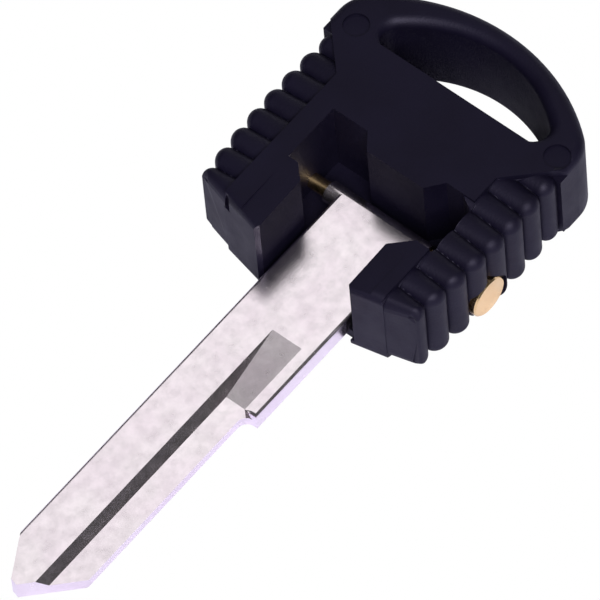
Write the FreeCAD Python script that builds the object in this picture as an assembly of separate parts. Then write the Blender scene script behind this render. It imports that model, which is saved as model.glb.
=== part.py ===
import FreeCAD, Part
import math
import os

# Ignition key with a folding blade: a ribbed plastic head, a flat metal blade and the pin it folds about.
# Millimetres. The blade points along +X, the head is thickest along Z and stands on z = 0.

# head
head_height = 10.0
rear_x = -8.1                    # rearmost point of the ring
rear_arc_radius = 19.3
rear_half_width = 13.55
rear_corner_radius = 3.4
rear_edge_round = 0.95
body_shift_y = -0.5              # the outer body sits off the middle of the hole and the pocket
head_half_width = 13.6           # widest place, on the crest of the middle ribs
flank_bow_radius = 80.0          # plan radius of the bowed flanks
flank_bow_x = 9.3                # where the bowed flanks are widest
barrel_radius = 25.0             # upright section of a rib: slightly bulging side,
corner_radius = 1.2              # rounded shoulder,
shoulder_slope = 0.13            # and a top that falls from the plateau outward
shoulder_sink = 0.35             # step from the plateau down to the ribs
rib_count = 8
rib_pitch = 2.5
rib_first_x = 2.5                # middle of the rearmost rib
rib_end_rise = 0.95              # rise of a rib's rounded outer end over the crease beside it
rib_crown_rise = 0.5             # rise of a rib's rounded top over the crease between two ribs
plateau_half_width = 9.1
plateau_waist_x = 4.75
plateau_ear_x = 1.25             # the ears' tops end on a diagonal
plateau_ear_half_width = 12.55
ear_notch_depth = 1.0
front_centre_x = 22.77           # swept front faces met in the middle plane
front_sweep = 0.22               # backward run of a front face per unit of width
front_round = 0.9
web_front_x = 20.8               # straight front edge of the floor under the blade

# ring hole for the key ring
ring_front_x = 0.0
ring_rear_x = -6.0
ring_arc_radius = 13.0
ring_corner_radius = 1.7
ring_corner_kink = 30.0          # degrees between the corner arcs and the straight front edge
ring_rim_front = 0.15            # rim rounding, growing from the front corners to the rear
ring_rim_rear = 1.05

# pocket for the folded blade
pocket_floor_z = 1.2
pocket_left_y = -7.45
pocket_right_y = 8.75
pocket_rear_x = 7.8
pocket_front_x = 14.1
bump_front_x = 9.5               # block between the two rear recesses, the stop of the folded blade
bump_left_y = -2.9
bump_right_y = 4.8
bump_slant = 1.3
wing_gap_left_y = -4.95
wing_gap_right_y = 5.2
wing_left_corner = 1.4           # corners taken off the rear ends of the wings
wing_right_corner = 1.9
pocket_corner = 1.5
wing_lip = 0.45                  # bevel on the upright front edges of the gap
ramp_start_x = 15.65
ramp_half_width = 7.35
ramp_drop = 0.25                 # drop of the wing tops at the front faces
mark_radius = 1.25               # two shallow round marks beside the ring hole
mark_depth = 0.3
mark_x = -0.3
mark_y = 11.45
scar_radius = 0.7                # gate scar in the top edge of the left front face
scar_depth = 0.35

# blade
blade_length_x = 60.0            # tip
blade_thickness = 2.15
blade_bottom_z = 1.5
blade_left_y = -4.25
blade_right_y = 4.75
blade_edge_round = 0.3
shoulder_x = 34.0
shoulder_y = 3.35
shoulder_radius = 1.0
tip_left_x = 55.5
tip_right_x = 55.4
tip_nose_y = -1.0
tip_nose_left_y = -1.75
groove_left_y = 0.15             # upper edge of the long milled step
groove_depth = 0.9
groove_slant = 0.8
ramp_in_x = 26.1                 # where the milled step starts to run in
ramp_out_x = 33.6                # where it has its full depth
rim_y = 3.45                     # rim left standing beside the run-in

# pin and hinge
pin_x = 11.3
pin_radius = 0.75
pin_left_y = -10.6
pin_head_radius = 2.1
pin_head_y = 11.6
pin_face_y = 12.8
pin_head_bevel = 0.15
pin_hole_clearance = 0.02        # pin held in the head
hinge_clearance = 0.05           # pin in the turning blade
head_hole_radius = 2.25
knuckle_left_y = -5.5
knuckle_right_y = 5.75

blade_top_z = blade_bottom_z + blade_thickness
pin_z = blade_bottom_z + blade_thickness / 2
middle_z = head_height / 2
# the origin is moved under the middle of the whole key
origin_x = (rear_x + blade_length_x) / 2
origin_y = body_shift_y


def vec(x, y, z=0.0):
    return FreeCAD.Vector(x, y, z)


def block(x0, x1, y0, y1, z0, z1):
    return Part.makeBox(x1 - x0, y1 - y0, z1 - z0, vec(x0, y0, z0))


def prism(points, z0, z1):
    """Upright prism over a plan polygon."""
    corners = [vec(x, y, z0) for x, y in points]
    wire = Part.makePolygon(corners + corners[:1])
    return Part.Face(wire).extrude(vec(0, 0, z1 - z0))


def side_prism(points, y0, y1):
    """Prism along Y over a polygon in x and z."""
    corners = [vec(x, y0, z) for x, z in points]
    wire = Part.makePolygon(corners + corners[:1])
    return Part.Face(wire).extrude(vec(0, y1 - y0, 0))


def rod(radius, x, z, y0, y1):
    return Part.makeCylinder(radius, y1 - y0, vec(x, y0, z), vec(0, 1, 0))


def arc(a, b, c):
    return Part.Arc(vec(*a), vec(*b), vec(*c)).toShape()


def flank_half_width(x):
    return head_half_width - (x - flank_bow_x) ** 2 / (2 * flank_bow_radius)


def edges_where(shape, test):
    return [edge for edge in shape.Edges if test(edge)]


def spans_z(edge, z):
    box = edge.BoundBox
    return abs(box.ZMin - z) < 1e-4 and abs(box.ZMax - z) < 1e-4


def rib_section(half):
    """Right-hand half of the section through a rib, as points of tangent lines and arcs."""
    fall = math.atan(shoulder_slope)
    drop = head_height - shoulder_sink - middle_z
    bulge = half - barrel_radius
    # centre of the shoulder arc: inside the barrel arc, below the falling top
    reach = barrel_radius - corner_radius
    base = (drop + plateau_half_width * shoulder_slope) * math.cos(fall) - corner_radius
    along = base - bulge * math.sin(fall)
    turn = math.asin(along / reach) - fall
    cy = bulge + reach * math.cos(turn)
    cz = reach * math.sin(turn)
    top = (cy + corner_radius * math.sin(fall), cz + corner_radius * math.cos(fall))
    middle = (turn + math.pi / 2 - fall) / 2
    bend = (cy + corner_radius * math.cos(middle), cz + corner_radius * math.sin(middle))
    side = (bulge + barrel_radius * math.cos(turn), barrel_radius * math.sin(turn))
    return top, bend, side


def rib_outline(x, half):
    """Plan of one rib: a bar across the head with both outer ends bowed between the creases."""
    a = x - rib_pitch / 2
    b = x + rib_pitch / 2
    low = half - rib_end_rise
    edges = [arc((a, side * low, 0), (x, side * half, 0), (b, side * low, 0)) for side in (-1, 1)]
    edges += [Part.makeLine(vec(at, -low, 0), vec(at, low, 0)) for at in (a, b)]
    return Part.Face(Part.Wire(Part.__sortEdges__(edges))).extrude(vec(0, 0, head_height))


def rib_crown(x):
    """Four bars over one rib, each bowed between the creases, falling to its side like the rib's top."""
    a = x - rib_pitch / 2
    b = x + rib_pitch / 2
    tilt = math.atan(shoulder_slope)
    level = head_height - shoulder_sink - middle_z
    inner = plateau_half_width - 1.0
    tools = []
    for side in (-1, 1):
        for up in (-1, 1):
            y = side * inner
            z = middle_z + up * (level + shoulder_slope)

            def at(px, down):
                return (px, y - side * down * math.sin(tilt), z - up * down * math.cos(tilt))

            edges = [arc(at(a, rib_crown_rise), at(x, 0), at(b, rib_crown_rise)),
                     Part.makeLine(vec(*at(b, rib_crown_rise)), vec(*at(b, level + 0.4))),
                     Part.makeLine(vec(*at(a, level + 0.4)), vec(*at(b, level + 0.4))),
                     Part.makeLine(vec(*at(a, rib_crown_rise)), vec(*at(a, level + 0.4)))]
            along = vec(0, side * math.cos(tilt), -up * math.sin(tilt)) * 10.0
            tools.append(Part.Face(Part.Wire(Part.__sortEdges__(edges))).extrude(along))
    return tools[0].multiFuse(tools[1:])


def rib(index):
    """One rib round both flanks: the overlap of its section, its plan and its crown."""
    centre = rib_first_x + rib_pitch * index
    half = flank_half_width(centre)
    top, bend, side = rib_section(half)
    x = centre - rib_pitch / 2
    inner = plateau_half_width - 1.0
    inner_z = top[1] + (top[0] - inner) * shoulder_slope

    def at(point, sy, sz):
        return (x, sy * point[0], middle_z + sz * point[1])

    edges = []
    for sz in (1, -1):
        edges.append(Part.makeLine(vec(*at((inner, inner_z), -1, sz)), vec(*at((inner, inner_z), 1, sz))))
    for sy in (1, -1):
        edges.append(arc(at(side, sy, -1), at((half, 0), sy, 1), at(side, sy, 1)))
        for sz in (1, -1):
            edges.append(Part.makeLine(vec(*at((inner, inner_z), sy, sz)), vec(*at(top, sy, sz))))
            edges.append(arc(at(top, sy, sz), at(bend, sy, sz), at(side, sy, sz)))
    wire = Part.Wire(Part.__sortEdges__(edges))
    solid = Part.Face(wire).extrude(vec(rib_pitch, 0, 0))
    solid = solid.common(rib_outline(centre, half))
    core = block(x, x + rib_pitch, -inner, inner, 0, head_height)
    return solid.common(rib_crown(centre).fuse(core))


def rear_body():
    """Rear part with the ring, its outer edges rounded."""
    centre = rear_x + rear_arc_radius
    disc = Part.makeCylinder(rear_arc_radius, head_height, vec(centre, 0, 0))
    limit = block(-20, plateau_ear_x, -rear_half_width, rear_half_width, 0, head_height)
    body = disc.common(limit)
    corners = edges_where(body, lambda e: e.BoundBox.ZLength > head_height - 0.1
                          and e.BoundBox.XMax < plateau_ear_x - 0.5)
    body = body.makeFillet(rear_corner_radius, corners)
    outer = edges_where(body, lambda e: (spans_z(e, 0) or spans_z(e, head_height))
                        and e.BoundBox.XMin < plateau_ear_x - 0.2)
    return body.makeFillet(rear_edge_round, outer)


def plateau():
    """Flat middle of the head; beside the right pocket wall the ribs end without it."""
    side = [(ring_front_x, plateau_ear_half_width), (plateau_ear_x, plateau_ear_half_width),
            (plateau_waist_x, plateau_half_width), (front_centre_x, plateau_half_width)]
    outline = side + [(x, -y) for x, y in reversed(side)]
    body = prism(outline, 0, head_height)
    strip = block(pocket_rear_x, pocket_front_x, pocket_right_y - 1.0, plateau_half_width + 1,
                  middle_z, head_height + 1)
    return body.cut(strip)


def ear_notches():
    """Corners taken off the ears so that their tops end on the plateau's diagonals."""
    over = 2.0
    notches = []
    for side in (-1, 1):
        points = [(plateau_ear_x, side * plateau_ear_half_width),
                  (plateau_ear_x - over, side * (plateau_ear_half_width + over)),
                  (plateau_ear_x, side * (plateau_ear_half_width + over))]
        for z in (-1, head_height - ear_notch_depth):
            notches.append(prism(points, z, z + 1 + ear_notch_depth))
    return notches


def front_limit():
    """Everything behind the two swept front faces, their top and bottom edges rounded."""
    r = front_round
    bend = r * (1 - math.sqrt(0.5))
    turn = math.atan(front_sweep)
    parts = []
    for side in (-1, 1):
        def at(back, z):
            return (front_centre_x - back * math.cos(turn), -side * back * math.sin(turn), z)

        edges = [Part.makeLine(vec(*at(40, 0)), vec(*at(r, 0))),
                 arc(at(r, 0), at(bend, bend), at(0, r)),
                 Part.makeLine(vec(*at(0, r)), vec(*at(0, head_height - r))),
                 arc(at(0, head_height - r), at(bend, head_height - bend), at(r, head_height)),
                 Part.makeLine(vec(*at(r, head_height)), vec(*at(40, head_height))),
                 Part.makeLine(vec(*at(40, head_height)), vec(*at(40, 0)))]
        along = vec(-math.sin(turn), side * math.cos(turn), 0)
        solid = Part.Face(Part.Wire(edges)).extrude(along * 20)
        parts.append(solid.common(block(-20, 30, min(0, side * 20), max(0, side * 20), -1, head_height + 1)))
    return parts[0].fuse(parts[1])


def ring_outline():
    """Meeting points of the straight front edge, the corner arc and the rear arc (right half)."""
    r = ring_corner_radius
    kink = math.radians(ring_corner_kink)
    big_x = ring_rear_x + ring_arc_radius
    cx = ring_front_x - r * math.cos(kink)
    cy = math.sqrt((ring_arc_radius - r) ** 2 - (big_x - cx) ** 2)
    start = (ring_front_x, cy + r * math.sin(kink))
    towards = math.atan2(cy, cx - big_x)
    end = (cx + r * math.cos(towards), cy + r * math.sin(towards))
    half_way = (kink + towards) / 2
    middle = (cx + r * math.cos(half_way), cy + r * math.sin(half_way))
    return start, middle, end


def ring_hole():
    """Hole for a key ring: straight in front, bowed behind."""
    start, middle, end = ring_outline()
    z = -1.0

    def at(point, side):
        return (point[0], side * point[1], z)

    edges = [Part.makeLine(vec(*at(start, -1)), vec(*at(start, 1))),
             arc(at(start, 1), at(middle, 1), at(end, 1)),
             arc(at(end, 1), (ring_rear_x, 0, z), at(end, -1)),
             arc(at(end, -1), at(middle, -1), at(start, -1))]
    return Part.Face(Part.Wire(edges)).extrude(vec(0, 0, head_height + 2))


def ring_half(body):
    """Half of the ring behind the straight edge, its inner rims rounded, less and less toward that edge."""
    half = body.common(block(-20, ring_front_x, 0, 20, -1, head_height + 1)).cut(ring_hole())
    start, middle, end = ring_outline()
    for level in (0, head_height):
        bends = edges_where(half, lambda e: spans_z(e, level) and e.BoundBox.XMax > ring_front_x - 0.1
                            and e.BoundBox.XMin > end[0] - 0.1 and e.BoundBox.XLength > 0.5
                            and e.BoundBox.YMax < middle[1] + 0.8)
        kept = vec(ring_front_x - 0.02, start[1] + 0.3, abs(level - 0.2))
        for radii in ((ring_rim_rear, ring_rim_front), (ring_rim_front, ring_rim_rear)):
            rounded = half.makeFillet(radii[0], radii[1], bends)
            if rounded.isInside(kept, 1e-6, True):
                break
        half = rounded
    return half


def pocket():
    """Space for the folded blade behind and between the wings."""
    s = bump_slant / 2
    c = pocket_corner
    left = wing_left_corner
    right = wing_right_corner
    outline = [(pocket_front_x, pocket_left_y), (pocket_rear_x, pocket_left_y),
               (pocket_rear_x, bump_left_y - s), (bump_front_x, bump_left_y + s),
               (bump_front_x, bump_right_y - s), (pocket_rear_x, bump_right_y + s),
               (pocket_rear_x, pocket_right_y - c), (pocket_rear_x + c / 2, pocket_right_y),
               (pocket_front_x, pocket_right_y), (pocket_front_x, wing_gap_right_y + right),
               (pocket_front_x + right, wing_gap_right_y), (front_centre_x + 1, wing_gap_right_y),
               (front_centre_x + 1, wing_gap_left_y), (pocket_front_x + left, wing_gap_left_y),
               (pocket_front_x, wing_gap_left_y - left)]
    return prism(outline, pocket_floor_z, head_height + 1)


def gap_bevels():
    """Bevels along the upright front edges of the gap."""
    tools = []
    for y in (wing_gap_left_y, wing_gap_right_y):
        x = front_centre_x - front_sweep * abs(y)
        w = wing_lip
        points = [(x - w, y), (x, y - w), (x + w, y), (x, y + w)]
        tools.append(prism(points, pocket_floor_z, head_height + 1))
    return tools[0].fuse(tools[1])


def make_head():
    outer = rear_body().cut(ear_notches())
    ribs = [rib(index) for index in range(rib_count)]
    grip = plateau().multiFuse(ribs)
    for shape in (outer, grip):
        shape.translate(vec(0, body_shift_y, 0))
    right = ring_half(outer)
    left = ring_half(outer.mirror(vec(0, 0, 0), vec(0, 1, 0))).mirror(vec(0, 0, 0), vec(0, 1, 0))
    front = outer.common(block(ring_front_x, 20, -20, 20, -1, head_height + 1))
    head = front.multiFuse([left, right, grip])
    head = head.common(front_limit()).removeSplitter()
    web_end = block(web_front_x, 30, wing_gap_left_y, wing_gap_right_y, -1, head_height + 1)
    head = head.cut(web_end)
    head = head.cut(pocket())
    head = head.cut(gap_bevels())
    fall = ramp_drop / (front_centre_x - front_sweep * wing_gap_right_y - ramp_start_x)
    reach = front_centre_x + 1 - ramp_start_x
    wedge = [(ramp_start_x, head_height), (ramp_start_x + reach, head_height - fall * reach),
             (ramp_start_x + reach, head_height + 1), (ramp_start_x, head_height + 1)]
    head = head.cut(side_prism(wedge, -ramp_half_width, ramp_half_width))
    for side in (-1, 1):
        mark = Part.makeCylinder(mark_radius, 1, vec(mark_x, side * mark_y, head_height - mark_depth))
        head = head.cut(mark)
    scar_y = -plateau_half_width - 0.4
    scar_x = front_centre_x + front_sweep * scar_y
    head = head.cut(Part.makeCylinder(scar_radius, 2, vec(scar_x + scar_radius - scar_depth, scar_y,
                                                        head_height - 2.2)))
    head = head.cut(rod(pin_radius + pin_hole_clearance, pin_x, pin_z, pin_left_y - 0.2, pin_head_y + 1))
    head = head.cut(rod(head_hole_radius, pin_x, pin_z, pin_head_y, head_half_width + 2))
    return head


def blade_outline():
    """Plan of the blade: square shoulder on the right, nose nearer the left edge."""
    r = shoulder_radius
    d = r * math.sqrt(0.5)
    z = blade_bottom_z
    end = shoulder_x + r
    inner = shoulder_y + 0.0
    edges = [Part.makeLine(vec(pin_x, blade_left_y, z), vec(tip_left_x, blade_left_y, z)),
             Part.makeLine(vec(tip_left_x, blade_left_y, z), vec(blade_length_x - 0.2, tip_nose_left_y, z)),
             Part.makeLine(vec(blade_length_x - 0.2, tip_nose_left_y, z), vec(blade_length_x, tip_nose_y, z)),
             Part.makeLine(vec(blade_length_x, tip_nose_y, z), vec(tip_right_x, inner, z)),
             Part.makeLine(vec(tip_right_x, inner, z), vec(end, inner, z)),
             arc((end, inner, z), (end - d, inner + r - d, z), (shoulder_x, inner + r, z)),
             Part.makeLine(vec(shoulder_x, inner + r, z), vec(shoulder_x, blade_right_y, z)),
             Part.makeLine(vec(shoulder_x, blade_right_y, z), vec(pin_x, blade_right_y, z)),
             Part.makeLine(vec(pin_x, blade_right_y, z), vec(pin_x, blade_left_y, z))]
    return Part.Face(Part.Wire(edges))


def milled_step():
    """Long step in the right half of the top face, running in on a slope between the edge and a rim."""
    top = blade_top_z
    low = top - groove_depth
    far = blade_length_x + 2
    y0 = groove_left_y
    over = 0.5
    lean = groove_slant / groove_depth
    section = [vec(ramp_in_x, y0 - lean * over, top + over), vec(ramp_in_x, y0 + groove_slant, low),
               vec(ramp_in_x, blade_right_y + 1, low), vec(ramp_in_x, blade_right_y + 1, top + over)]
    wall = Part.Face(Part.makePolygon(section + section[:1])).extrude(vec(far - ramp_in_x, 0, 0))
    slope = [(ramp_in_x, top), (ramp_out_x, low), (far, low), (far, top + over), (ramp_in_x, top + over)]
    floor = side_prism(slope, y0 - 1, blade_right_y + 1)
    rim = block(ramp_in_x - 1, shoulder_x, rim_y, blade_right_y + 2, low - 0.1, top + 1)
    return wall.common(floor).cut(rim)


def make_blade():
    plate = blade_outline().extrude(vec(0, 0, blade_thickness))
    long_edges = edges_where(plate, lambda e: e.BoundBox.YLength < 1e-4 and e.BoundBox.ZLength < 1e-4
                             and e.BoundBox.XLength > 15)
    plate = plate.makeFillet(blade_edge_round, long_edges)
    plate = plate.cut(milled_step())
    knuckle = rod(blade_thickness / 2, pin_x, pin_z, knuckle_left_y, knuckle_right_y)
    blade = plate.fuse(knuckle)
    return blade.cut(rod(pin_radius + hinge_clearance, pin_x, pin_z, -20, 20))


def make_pin():
    shank = rod(pin_radius, pin_x, pin_z, pin_left_y, pin_head_y + 0.5)
    disc = rod(pin_head_radius, pin_x, pin_z, pin_head_y, pin_face_y)
    face_edge = edges_where(disc, lambda e: abs(e.BoundBox.YMin - pin_face_y) < 1e-4
                            and e.BoundBox.ZLength > 1)
    disc = disc.makeChamfer(pin_head_bevel, face_edge)
    return shank.fuse(disc).removeSplitter()


os.makedirs("parts", exist_ok=True)
for name, shape in (("key_head", make_head()), ("key_blade", make_blade()), ("pivot_pin", make_pin())):
    shape.translate(vec(-origin_x, -origin_y, 0))
    solid = shape.Solids[0] if len(shape.Solids) == 1 else shape
    solid.exportStep(os.path.join("parts", name + ".step"))
    box = shape.BoundBox
    print(name, len(shape.Solids), "solid", shape.isValid(), round(shape.Volume, 2),
          [round(v, 2) for v in (box.XMin, box.XMax, box.YMin, box.YMax, box.ZMin, box.ZMax)])
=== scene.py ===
import bpy
import math
import bmesh
import numpy as np
from mathutils import Matrix, Vector


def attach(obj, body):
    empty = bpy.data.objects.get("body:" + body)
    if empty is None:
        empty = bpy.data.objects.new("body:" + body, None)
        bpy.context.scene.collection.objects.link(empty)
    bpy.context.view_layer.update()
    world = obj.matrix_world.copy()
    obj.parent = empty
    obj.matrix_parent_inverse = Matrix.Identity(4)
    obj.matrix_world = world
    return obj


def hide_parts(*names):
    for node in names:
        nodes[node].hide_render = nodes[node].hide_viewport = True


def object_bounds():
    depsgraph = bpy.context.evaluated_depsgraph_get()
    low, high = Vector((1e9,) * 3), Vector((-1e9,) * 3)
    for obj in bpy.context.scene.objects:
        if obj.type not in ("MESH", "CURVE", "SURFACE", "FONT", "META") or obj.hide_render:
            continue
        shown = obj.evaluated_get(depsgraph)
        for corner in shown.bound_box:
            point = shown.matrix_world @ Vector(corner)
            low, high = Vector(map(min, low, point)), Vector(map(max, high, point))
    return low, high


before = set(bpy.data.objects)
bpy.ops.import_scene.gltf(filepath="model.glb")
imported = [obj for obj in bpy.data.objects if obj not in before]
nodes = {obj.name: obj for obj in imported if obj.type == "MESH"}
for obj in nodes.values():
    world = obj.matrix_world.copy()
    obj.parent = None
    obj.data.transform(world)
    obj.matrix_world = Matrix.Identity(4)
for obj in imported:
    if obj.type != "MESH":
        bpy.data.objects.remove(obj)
cad_low, cad_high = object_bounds()
scene = bpy.context.scene
LIGHT_TARGET = Vector((0.0, 0.0, 0.004))

# Head sizes in mm, counted along X from the front edge of the key-ring hole.
ORIGIN = np.array([25.95, -0.5, 0.0])
HEAD_HEIGHT = 10.0
RIB_PITCH = 2.5
RIB_FIRST = 2.1
RIB_RISE = 0.95
FRONT_X = 22.77
FRONT_SWEEP = 0.22
RIB_TOP_SHARE = 0.55    # groove depth beside the plateau, as a share of its depth on the side
TOP_FALL = 0.05         # slope of the bars' tops, falling away from the plateau
TOP_DROP = 0.33         # how far the bars' tops lie below the plateau
TOP_CORNER = 1.10
BOTTOM_CORNER = 1.00
FLANK_START = 1.0       # the flank begins here, inside the ear
FRONT_TOP_ROUND = 0.9
FRONT_SIDE_ROUND = 0.15
PIN_X = 11.3
PIN_Z = 2.575
PIN_SEAT_RADIUS = 2.35

# Half width of the floor in metres.
FLOOR_HALF = 0.9


class Tree:
    """Short calls for building one material's nodes."""

    def __init__(self, name):
        self.material = bpy.data.materials.new(name)
        self.material.use_nodes = True
        self.nodes = self.material.node_tree.nodes
        self.links = self.material.node_tree.links
        self.nodes.clear()
        self.out = self.add("ShaderNodeOutputMaterial")
        self.coords = self.add("ShaderNodeTexCoord").outputs["Object"]

    def add(self, kind, **values):
        node = self.nodes.new(kind)
        for key, value in values.items():
            setattr(node, key, value)
        return node

    def put(self, node, name, value):
        """Sets a socket to a plain value or links another node's output to it."""
        socket = node.inputs[name]
        if isinstance(value, bpy.types.NodeSocket):
            self.links.new(value, socket)
        else:
            socket.default_value = value

    def noise(self, scale, detail=3.0, roughness=0.5, stretch=(1, 1, 1), offset=(0, 0, 0)):
        mapping = self.add("ShaderNodeMapping")
        self.put(mapping, "Vector", self.coords)
        mapping.inputs["Scale"].default_value = stretch
        mapping.inputs["Location"].default_value = offset
        noise = self.add("ShaderNodeTexNoise")
        self.put(noise, "Vector", mapping.outputs[0])
        self.put(noise, "Scale", scale)
        self.put(noise, "Detail", detail)
        self.put(noise, "Roughness", roughness)
        return noise.outputs["Fac"]

    def remap(self, value, low, high, to_low=0.0, to_high=1.0):
        node = self.add("ShaderNodeMapRange")
        self.put(node, "Value", value)
        self.put(node, "From Min", low)
        self.put(node, "From Max", high)
        self.put(node, "To Min", to_low)
        self.put(node, "To Max", to_high)
        return node.outputs[0]

    def mix(self, factor, a, b):
        node = self.add("ShaderNodeMix", data_type="RGBA")
        self.put(node, 0, factor)
        self.put(node, 6, a)
        self.put(node, 7, b)
        return node.outputs[2]

    def math(self, operation, a, b=0.0):
        node = self.add("ShaderNodeMath", operation=operation)
        self.put(node, 0, a)
        self.put(node, 1, b)
        return node.outputs[0]

    def bump(self, height, distance, strength=1.0, normal=None):
        node = self.add("ShaderNodeBump")
        self.put(node, "Height", height)
        self.put(node, "Distance", distance)
        self.put(node, "Strength", strength)
        if normal is not None:
            self.put(node, "Normal", normal)
        return node.outputs[0]

    def surface(self, **values):
        shader = self.add("ShaderNodeBsdfPrincipled")
        for name, value in values.items():
            self.put(shader, name.replace("_", " "), value)
        self.links.new(shader.outputs[0], self.out.inputs["Surface"])
        return self.material


def plastic():
    t = Tree("head_plastic")
    cloud = t.remap(t.noise(180, 4), 0.35, 0.65)
    colour = t.mix(cloud, (0.0028, 0.0020, 0.0085, 1), (0.0040, 0.0030, 0.0115, 1))
    grain = t.noise(5200, 2, 0.6)
    rub = t.noise(420, 5, 0.6)
    rough = t.remap(rub, 0.3, 0.7, 0.50, 0.60)
    normal = t.bump(grain, 0.00006, 0.35)
    return t.surface(Base_Color=colour, Roughness=rough, Normal=normal,
                     Specular_IOR_Level=0.30, Specular_Tint=(0.78, 0.72, 1.0, 1))


def nickel():
    t = Tree("blade_metal")
    cloud = t.remap(t.noise(260, 4), 0.35, 0.65)
    colour = t.mix(cloud, (0.90, 0.80, 0.86, 1), (0.93, 0.85, 0.89, 1))
    rough = t.remap(t.noise(900, 4, 0.6), 0.3, 0.7, 0.20, 0.28)
    normal = t.bump(t.noise(1500, 3, 0.6, (0.25, 1, 1)), 0.00002, 0.2)
    return t.surface(Base_Color=colour, Metallic=1.0, Roughness=rough, Normal=normal)


def brass():
    t = Tree("pin_brass")
    cloud = t.remap(t.noise(600, 4), 0.35, 0.65)
    colour = t.mix(cloud, (0.88, 0.62, 0.30, 1), (0.93, 0.70, 0.38, 1))
    rough = t.remap(t.noise(1800, 4, 0.6), 0.3, 0.7, 0.18, 0.28)
    normal = t.bump(t.noise(2600, 3), 0.00002, 0.2)
    return t.surface(Base_Color=colour, Metallic=1.0, Roughness=rough, Normal=normal)


def paint(obj, material):
    obj.data.materials.clear()
    obj.data.materials.append(material)


def solid(name, points, faces):
    """Closed mesh object from points in mm of the head's own frame, normals turned outward."""
    mesh = bpy.data.meshes.new(name)
    mesh.from_pydata(((np.asarray(points, float) - ORIGIN) / 1000.0).tolist(), [], faces)
    shell = bmesh.new()
    shell.from_mesh(mesh)
    bmesh.ops.remove_doubles(shell, verts=shell.verts, dist=2e-7)
    bmesh.ops.recalc_face_normals(shell, faces=shell.faces)
    shell.to_mesh(mesh)
    shell.free()
    obj = bpy.data.objects.new(name, mesh)
    scene.collection.objects.link(obj)
    return obj


def prism(name, outline, low, high):
    """Upright closed prism over a plan outline."""
    flat = np.asarray(outline, float)
    n = len(flat)
    points = np.vstack([np.column_stack([flat, np.full(n, z)]) for z in (low, high)])
    around = np.arange(n)
    ahead = np.roll(around, -1)
    sides = np.column_stack([around, ahead, ahead + n, around + n]).tolist()
    return solid(name, points, sides + [around.tolist(), (around + n).tolist()])


def drum(name, x, z, radius, y_low, y_high, count=72):
    """Closed cylinder along Y."""
    a = np.linspace(0, 2 * np.pi, count, endpoint=False)
    ring = np.column_stack([x + radius * np.cos(a), np.zeros(count), z + radius * np.sin(a)])
    points = np.vstack([ring + (0, y, 0) for y in (y_low, y_high)])
    around = np.arange(count)
    ahead = np.roll(around, -1)
    sides = np.column_stack([around, ahead, ahead + count, around + count]).tolist()
    return solid(name, points, sides + [around.tolist(), (around + count).tolist()])


def carve(obj, tool):
    """Takes the tool's space out of the object and throws the tool away."""
    cut = obj.modifiers.new("cut", "BOOLEAN")
    cut.operation = "DIFFERENCE"
    cut.solver = "EXACT"
    cut.object = tool
    bpy.context.view_layer.update()
    finished = obj.evaluated_get(bpy.context.evaluated_depsgraph_get())
    shape = bpy.data.meshes.new_from_object(finished)
    obj.modifiers.clear()
    obj.data = shape
    bpy.data.objects.remove(tool)


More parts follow.
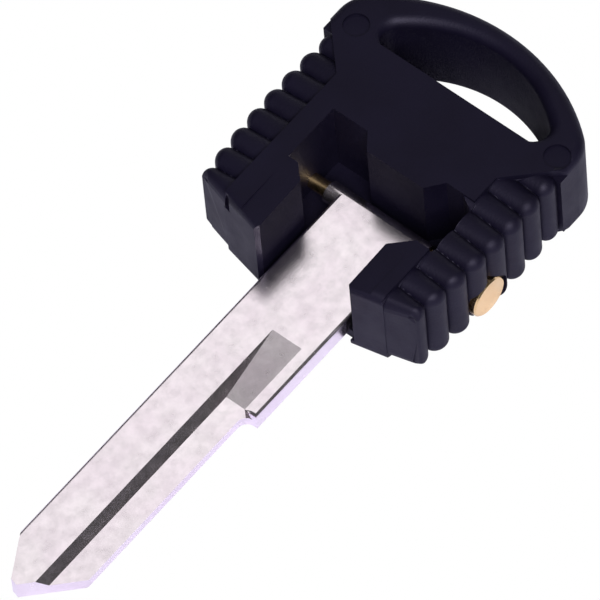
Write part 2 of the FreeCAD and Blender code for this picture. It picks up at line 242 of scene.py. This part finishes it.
def flank(name, side, crest, bow_x, bow_radius, inner, edge, pocket=None):
    """Ribbed flank of the head, a closed grid over u and v.

    Along u it runs from inside the ear to the front face, whose X falls by FRONT_SWEEP for each mm of
    width. Along v it goes from the inner wall over the sloping top, round a corner arc and down the side
    to mid height, and the same way back below. The side is bowed: it moves in by (x - bow_x) squared
    over twice bow_radius, scaled from none at the inner wall to all at the crest. Each point then sinks
    along the section's normal by R - sqrt(R*R - d*d), where d is its distance from the middle of its
    rib and R the radius of an arc RIB_PITCH wide and RIB_RISE high, less deep near the plateau. A
    quarter round is sunk in the same way near the front. The lower half mirrors the upper one."""
    mid = HEAD_HEIGHT / 2
    halves = []
    lift = mid - TOP_DROP
    radius = (RIB_PITCH ** 2 / 4 + RIB_RISE ** 2) / (2 * RIB_RISE)
    turn = np.linspace(math.atan(TOP_FALL), math.pi / 2, 12)
    for up, corner in ((1, TOP_CORNER), (-1, BOTTOM_CORNER)):
        cy = crest - corner
        cz = lift - TOP_FALL * (cy - edge) - corner
        top_y = np.linspace(inner, cy, 12)[:-1]
        y = np.concatenate([top_y, cy + corner * np.sin(turn), np.full(6, crest)])
        z = np.concatenate([lift - TOP_FALL * (top_y - edge), cz + corner * np.cos(turn),
                            np.linspace(cz, 0, 7)[1:]])
        ny = np.concatenate([np.full(11, math.sin(turn[0])), np.sin(turn), np.ones(6)])
        nz = np.concatenate([np.full(11, math.cos(turn[0])), np.cos(turn), np.zeros(6)])
        share = np.clip(RIB_TOP_SHARE + (1 - RIB_TOP_SHARE) * (y - edge) / (cy - edge), 0, 1)
        front = FRONT_X - FRONT_SWEEP * y
        u = np.linspace(0, 1, 221)[:, None] ** 0.98
        x = FLANK_START + (front - FLANK_START) * u
        bow = -(x - bow_x) ** 2 / (2 * bow_radius) * np.clip((y - inner) / (crest - inner), 0, 1)
        phase = (x - RIB_FIRST + RIB_PITCH / 2) % RIB_PITCH - RIB_PITCH / 2
        groove = (radius - np.sqrt(radius ** 2 - phase ** 2)) * share
        soft = FRONT_TOP_ROUND * nz + FRONT_SIDE_ROUND * ny
        near = np.clip(soft - (front - x), 0, soft)
        sink = groove + soft - np.sqrt(np.maximum(soft ** 2 - near ** 2, 0))
        py = y + bow - ny * sink
        if pocket:
            py = np.where((x > pocket[0]) & (x < pocket[1]), np.maximum(py, pocket[2]), py)
        halves.append(np.stack([x, side * py, mid + up * (z - nz * sink)], 2))
    loop = np.concatenate([halves[0], halves[1][:, -2::-1]], 1)
    rows, columns = loop.shape[:2]
    index = np.arange(rows * columns).reshape(rows, columns)
    after = np.roll(index, -1, axis=1)
    quads = np.stack([index[:-1], index[1:], after[1:], after[:-1]], 2).reshape(-1, 4).tolist()
    caps = [index[0].tolist(), index[-1].tolist()]
    return solid(name, loop.reshape(-1, 3), quads + caps)


def head_core():
    """The head's own solid without its flanks: plateau, ears, ring, pocket and wings."""
    core = bpy.data.objects.new("head_core", nodes["key_head"].data.copy())
    scene.collection.objects.link(core)
    merged = bmesh.new()
    merged.from_mesh(core.data)
    bmesh.ops.remove_doubles(merged, verts=merged.verts, dist=1e-7)
    merged.to_mesh(core.data)
    merged.free()
    far = 30
    left = [(1.27, -13.07), (4.77, -9.62), (far, -9.62), (far, -20), (1.27, -20)]
    right = [(1.27, 12.07), (4.77, 8.62), (7.0, 8.62), (7.0, 8.74),
             (far, 8.74), (far, 20), (1.27, 20)]
    carve(core, prism("left_cut", left, -1, 11))
    carve(core, prism("right_cut", right, -1, 11))
    return core


core = head_core()
left_flank = flank("left_flank", -1, 13.72, 8.5, 80.0, 9.5, 9.6)
right_flank = flank("right_flank", 1, 13.02, 7.0, 74.0, 8.5, 8.6, (7.8, 14.1, 8.75))
carve(right_flank, drum("pin_seat", PIN_X, PIN_Z, PIN_SEAT_RADIUS, 12.1, 16.0))
head_finish = plastic()
for piece in (core, left_flank, right_flank):
    paint(piece, head_finish)
    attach(piece, "head")
    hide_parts("key_head")
paint(nodes["key_blade"], nickel())
paint(nodes["pivot_pin"], brass())


def floor():
    mesh = bpy.data.meshes.new("floor")
    s = FLOOR_HALF
    mesh.from_pydata([(-s, -s, 0), (s, -s, 0), (s, s, 0), (-s, s, 0)], [], [(0, 1, 2, 3)])
    obj = bpy.data.objects.new("floor", mesh)
    obj.location = (0, 0, min(0.0, cad_low.z) - 0.00002)
    scene.collection.objects.link(obj)
    t = Tree("floor")
    path = t.add("ShaderNodeLightPath")
    white = t.add("ShaderNodeEmission")
    white.inputs["Color"].default_value = (1, 1, 1, 1)
    white.inputs["Strength"].default_value = 1.0
    pale = t.add("ShaderNodeBsdfDiffuse")
    pale.inputs["Color"].default_value = (0.80, 0.78, 0.94, 1)
    mix = t.add("ShaderNodeMixShader")
    t.links.new(path.outputs["Is Camera Ray"], mix.inputs[0])
    t.links.new(pale.outputs[0], mix.inputs[1])
    t.links.new(white.outputs[0], mix.inputs[2])
    t.links.new(mix.outputs[0], t.out.inputs["Surface"])
    paint(obj, t.material)
    return obj


def area_light(name, azimuth, elevation, distance, size, power, colour=(1, 1, 1), size_y=None):
    """Soft light; azimuth is counted from +X toward +Y."""
    a = math.radians(azimuth)
    e = math.radians(elevation)
    direction = Vector((math.cos(e) * math.cos(a), math.cos(e) * math.sin(a), math.sin(e)))
    data = bpy.data.lights.new(name, "AREA")
    data.shape = "RECTANGLE"
    data.size = size
    data.size_y = size_y or size
    data.energy = power
    data.color = colour
    obj = bpy.data.objects.new(name, data)
    obj.location = LIGHT_TARGET + direction * distance
    obj.rotation_mode = "QUATERNION"
    obj.rotation_quaternion = (-direction).to_track_quat("-Z", "Y")
    scene.collection.objects.link(obj)
    return obj


floor()
area_light("mirror", 224, 57.7, 0.9, 0.34, 0.40)
area_light("key", 50, 50, 1.0, 0.6, 13.0)
area_light("backdrop", 203, 12, 0.9, 0.7, 0.8, (1, 1, 1), 0.3)

world = bpy.data.worlds.new("world")
scene.world = world
world.use_nodes = True
background = world.node_tree.nodes["Background"]
background.inputs["Color"].default_value = (1, 1, 1, 1)
light_path = world.node_tree.nodes.new("ShaderNodeLightPath")
strength = world.node_tree.nodes.new("ShaderNodeMapRange")
strength.inputs["To Min"].default_value = 0.05
strength.inputs["To Max"].default_value = 1.0
world.node_tree.links.new(light_path.outputs["Is Camera Ray"], strength.inputs["Value"])
world.node_tree.links.new(strength.outputs[0], background.inputs["Strength"])

camera_data = bpy.data.cameras.new("camera")
camera_data.sensor_width = 36.0
camera_data.lens = 720.0
camera_data.clip_start = 0.05
camera_data.clip_end = 10.0
camera = bpy.data.objects.new("camera", camera_data)
right = Vector((-0.632970, 0.772350, -0.053133))
down = Vector((0.672603, 0.514643, -0.531740))
ahead = Vector((-0.383345, -0.372313, -0.845239))
turn = Matrix((right, -down, -ahead)).transposed()
camera.matrix_world = Matrix.Translation(Vector((0.40285, 0.39546, 0.90006))) @ turn.to_4x4()
scene.collection.objects.link(camera)
scene.camera = camera

scene.view_settings.view_transform = "Standard"
